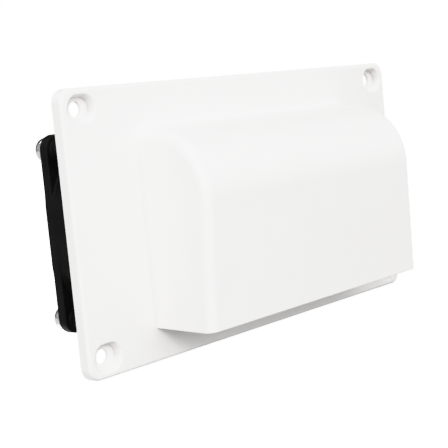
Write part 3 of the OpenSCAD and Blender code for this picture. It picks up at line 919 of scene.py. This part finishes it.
def smooth_path(points, steps):
    """A Catmull-Rom curve through the points."""
    points = np.array(points, float)
    ends = np.vstack([2 * points[0] - points[1], points, 2 * points[-1] - points[-2]])
    path = []
    for i in range(len(points) - 1):
        a, b, c, d = ends[i:i + 4]
        for t in np.linspace(0, 1, steps, endpoint=False):
            path.append(0.5 * (2 * b + (c - a) * t + (2 * a - 5 * b + 4 * c - d) * t ** 2
                               + (3 * b - a - 3 * c + d) * t ** 3))
    path.append(points[-1])
    return np.array(path)


def closed_tube(rings, sides):
    """Quads of a tube: rings of points, then the middle points of its two ends."""
    quads = []
    for ring in range(rings - 1):
        for k in range(sides):
            a = ring * sides + k
            b = ring * sides + (k + 1) % sides
            quads.append((a, a + sides, b + sides, b))
    start = rings * sides
    last = start - sides
    for k in range(0, sides, 2):
        after = (k + 1) % sides
        beyond = (k + 2) % sides
        quads.append((start, k, after, beyond))
        quads.append((start + 1, last + beyond, last + after, last + k))
    return np.array(quads)


def tube_mesh(path, radius, sides):
    """A closed tube round a path, its frame carried along without twisting."""
    tangents = np.gradient(path, axis=0)
    tangents /= np.linalg.norm(tangents, axis=1)[:, None]
    side = np.cross(tangents[0], (0, 0, 1.0))
    side /= np.linalg.norm(side)
    points = []
    turns = np.linspace(0, 2 * math.pi, sides, endpoint=False)
    for centre, along in zip(path, tangents):
        side = side - along * side.dot(along)
        side /= np.linalg.norm(side)
        other = np.cross(along, side)
        points += [centre + radius * (math.cos(t) * side + math.sin(t) * other) for t in turns]
    return np.array(points + [path[0], path[-1]]), closed_tube(len(path), sides)[:, ::-1]


def leads():
    """Four leads: each follows its channel, turns back between the fans and ends in the plug."""
    lead_y = COLLAR_BACK_Y + LEAD_DEPTH
    for side, word in ((-1, "left"), (1, "right")):
        for way, colour in ((1, "red"), (-1, "black")):
            z = FAN_Z + way * LEAD_OFFSET
            tied_z = FAN_Z + way * 0.9
            route = [(side * (FAN_X - LEAD_INSET), lead_y, z),
                     (side * 16, lead_y, z),
                     (side * 4.2, lead_y + 0.05, z),
                     (side * 1.35, lead_y + 2.5, z),
                     (side * 1.1, lead_y + 12.3, z),
                     (side * 1.05, FAN_BACK_Y, z),
                     (side * 0.9, TIE_Y, tied_z),
                     (side * 0.9, TIE_Y + 4, tied_z),
                     (side * 0.9, PLUG_Y + 1, FAN_Z + way * PIN_OFFSET)]
            add_piece(colour + "_wire_" + word, colour + "_lead_" + word, "housing",
                      "lead_" + colour, tube_mesh(smooth_path(route, 9), LEAD_R, LEAD_SIDES))


# ---------- seal ----------


STRIP_SIDES = 28
STRIP_RING_GAP = 2.2
STRIP_CORNER = 0.45
STRIP_END_TUCK = (0.82, 0.96, 1.0)
STRIP_MOST_SWELL = 1.03


def foam_strip(length, width, low, high, rng):
    """A strip along x: a soft rectangle in section, slightly uneven along its length."""
    rings = round(length / STRIP_RING_GAP)
    middle = (low + high) / 2
    half_width = width / 2 - 0.12
    half_depth = (high - low) / 2 - 0.1
    points = []
    for ring in range(rings + 1):
        along = -length / 2 + length * ring / rings
        tuck = STRIP_END_TUCK[min(ring, rings - ring, 2)]
        swell = 1 + 0.02 * math.sin(along * 0.31) + rng.normal(0, 0.006)
        for k in range(STRIP_SIDES):
            t = 2 * math.pi * k / STRIP_SIDES
            u = math.copysign(abs(math.cos(t)) ** STRIP_CORNER, math.cos(t)) * half_width
            v = math.copysign(abs(math.sin(t)) ** STRIP_CORNER, math.sin(t)) * half_depth
            grain = tuck * (1 + rng.normal(0, 0.008))
            points.append((along, middle + v * grain, u * swell * grain / STRIP_MOST_SWELL))
    points += [(-length / 2, middle, 0), (length / 2, middle, 0)]
    return np.array(points), closed_tube(rings + 1, STRIP_SIDES)


def seal():
    """Foam tape in the plate's hollow back, in four lengths."""
    rng = np.random.default_rng(7)
    low, high = box_mm("seal_strips")
    across = 2 * (HOLE_X - RECESS_HALF - PAD_R - SEAL_GAP) - SEAL_TRIM
    up = 2 * (HOLE_Z - PAD_R - SEAL_GAP) - SEAL_TRIM
    parts = []
    for s in (-1, 1):
        points, quads = foam_strip(across, SEAL_W, low[1], high[1], rng)
        parts.append((points + (0, 0, s * (high[2] - SEAL_W / 2)), quads))
        points, quads = foam_strip(up, SEAL_W, low[1], high[1], rng)
        upright = np.stack([-points[:, 2], points[:, 1], points[:, 0]], axis=1)
        parts.append((upright + (s * (high[0] - SEAL_W / 2), 0, 0), quads))
    all_points = np.concatenate([p for p, q in parts])
    starts = np.cumsum([0] + [len(p) for p, q in parts[:-1]])
    all_quads = np.concatenate([q + start for (p, q), start in zip(parts, starts)])
    add_piece("seal_tape", "seal_strips", "housing", "seal_foam", (all_points, all_quads))


# ---------- small CAD parts ----------


def soften(node, radius):
    """Rounds the sharp edges of a CAD node by the radius in millimetres."""
    obj = frame["nodes"][node]
    weld = obj.modifiers.new("weld", "WELD")
    weld.merge_threshold = 0.005 * MM
    bevel = obj.modifiers.new("bevel", "BEVEL")
    bevel.width = radius * MM
    bevel.segments = 2
    bevel.limit_method = "ANGLE"
    bevel.angle_limit = math.radians(40)
    bevel.harden_normals = True
    obj.data.polygons.foreach_set("use_smooth", np.ones(len(obj.data.polygons), bool))


MOTOR_EDGES = {"rotor_yoke": 0.12, "magnet_ring": 0.2, "shaft": 0.06, "sleeve_bearing": 0.12,
               "thrust_washer": 0.06, "retaining_clip": 0.08, "stator_core": 0.06,
               "coil_former": 0.15, "windings": 0.3, "circuit_board": 0.08, "hub_sticker": 0.04}
LOOSE_EDGES = {"cable_tie": 0.3, "plug_housing": 0.3, "plug_pins": 0.08}


def soften_small_parts():
    for word in ("left", "right"):
        for kind, radius in MOTOR_EDGES.items():
            soften(kind + "_" + word, radius)
    for node, radius in LOOSE_EDGES.items():
        soften(node, radius)


# ---------- studio ----------

SKY_LEVEL = 1.4
SKY_SLOPE = (-0.05, -0.88, -0.55)
HORIZON_DIM = 0.5
HORIZON_TOP = 0.25
BACKDROP = 2.2
FLAG_TOWARD = (0.74, 0.62, 0.25)
FLAG_LEVEL = 0.05
FLOOR_GLINT = 0.8
FLOOR_Z = -320
FLOOR_HALF = 6000

# Lamps in metres and watts: name, place, target, diameter, power
LAMPS = [("key", (-1.05, -0.88, 0.61), (0, 0, 0), 0.55, 12.5),
         ("fill", (-0.44, -0.3, -0.09), (-0.09, 0, -0.05), 0.3, 0.34),
         ("bounce", (-0.05, 0.2, -0.3), (-0.05, 0.05, 0), 0.36, 0.6),
         ("rim", (-0.47, 0.97, 1.05), (0, 0, 0), 0.35, 2.0),
         ("top", (-0.1, -0.15, 1.2), (0, 0, 0), 0.12, 0.4)]

# Tone curve: tones above the knee are drawn in towards the paper white
KNEE = 0.62
SHOULDER_END = 1.9
PAPER_WHITE = 0.945


def lamp(name, place, target, size, power):
    light = bpy.data.lights.new(name, "AREA")
    light.shape = "DISK"
    light.size = size
    light.energy = power
    obj = bpy.data.objects.new(name, light)
    obj.location = place
    obj.rotation_mode = "QUATERNION"
    obj.rotation_quaternion = (Vector(target) - Vector(place)).to_track_quat("-Z", "Y")
    bpy.context.scene.collection.objects.link(obj)


def sky():
    """Pale surroundings, brighter from the front and dimmer along the horizon."""
    world = bpy.data.worlds.new("studio")
    bpy.context.scene.world = world
    world.use_nodes = True
    n = Nodes(world.node_tree)
    toward = n.node("ShaderNodeTexCoord").outputs["Generated"]
    rise = n.node("ShaderNodeSeparateXYZ", {0: toward}).outputs["Z"]
    glow = n.math("ADD", n.dot(toward, SKY_SLOPE), SKY_LEVEL)
    glow = n.math("MULTIPLY", glow, n.ramp(rise, HORIZON_DIM, 1, 0, HORIZON_TOP))
    # A dark flag behind the object, seen only in reflections, gives bright metal its contrast
    flag = n.ramp(n.dot(toward, FLAG_TOWARD), 0, 1, 0.35, 0.75)
    flag = n.math("MULTIPLY", flag, n.light_path("Is Glossy Ray"))
    glow = n.node("ShaderNodeMix", {"Factor": flag, "A": glow, "B": FLAG_LEVEL}).outputs[0]
    seen = n.light_path("Is Camera Ray")
    glow = n.node("ShaderNodeMix", {"Factor": seen, "A": glow, "B": BACKDROP}).outputs[0]
    background = world.node_tree.nodes["Background"]
    background.inputs["Color"].default_value = (1, 1, 1, 1)
    world.node_tree.links.new(glow, background.inputs["Strength"])


def floor():
    """A floor that looks as pale as the backdrop but throws little light back up."""
    s = Shader("floor_paint", Specular_IOR_Level=0.1)
    s.set("Base Color", s.mix(s.ramp(s.noise(60, 2), 0, 1), grey(0.1), grey(0.12)))
    s.set("Roughness", s.ramp(s.noise(20, 2), 0.8, 0.9))
    s.surface.inputs["Emission Color"].default_value = grey(BACKDROP)
    glint = s.math("MULTIPLY", s.light_path("Is Glossy Ray"), FLOOR_GLINT / BACKDROP)
    s.set("Emission Strength", s.math("ADD", s.light_path("Is Camera Ray"), glint))
    corners = [(-1, -1), (1, -1), (1, 1), (-1, 1)]
    points = [(x * FLOOR_HALF, y * FLOOR_HALF, FLOOR_Z) for x, y in corners]
    mesh_object("floor", points, [(0, 1, 2, 3)], material=s.material)


CAMERA_AZIMUTH = -49.47
CAMERA_ELEVATION = 6.01
CAMERA_ROLL = -5.63
CAMERA_DISTANCE = 0.52986
CAMERA_AIM = (-8.86, 7.0, -8.57)
LENS = 99.46


def camera():
    """Looks at the object from its left front, a little above, with a slight roll."""
    azimuth = math.radians(CAMERA_AZIMUTH)
    elevation = math.radians(CAMERA_ELEVATION)
    toward = Vector((-math.sin(azimuth) * math.cos(elevation),
                     math.cos(azimuth) * math.cos(elevation), -math.sin(elevation)))
    data = bpy.data.cameras.new("camera")
    data.lens = LENS
    data.sensor_width = 36.0
    data.clip_start = 0.01
    data.clip_end = 50
    obj = bpy.data.objects.new("camera", data)
    level = toward.to_track_quat("-Z", "Y").to_matrix()
    turn = level @ Matrix.Rotation(math.radians(CAMERA_ROLL), 3, "Z")
    place = Vector(CAMERA_AIM) * MM - toward * CAMERA_DISTANCE
    obj.matrix_world = Matrix.Translation(place) @ turn.to_4x4()
    bpy.context.scene.collection.objects.link(obj)
    bpy.context.scene.camera = obj


def film_response():
    """Standard view with a soft shoulder."""
    view = bpy.context.scene.view_settings
    view.view_transform = "Standard"
    view.use_curve_mapping = True
    mapping = view.curve_mapping
    mapping.white_level = (BACKDROP,) * 3
    curve = mapping.curves[3]
    reach = PAPER_WHITE - KNEE
    for step in range(8):
        light = KNEE + (SHOULDER_END - KNEE) * step / 7
        tone = KNEE + reach * (1 - math.exp(-(light - KNEE) / reach))
        curve.points.new(light / BACKDROP, tone)
    mapping.update()


dress_frame()
cover()
fan_pieces()
fan_screws()
leads()
seal()
soften_small_parts()
sky()
floor()
for lamp_values in LAMPS:
    lamp(*lamp_values)
camera()
film_response()
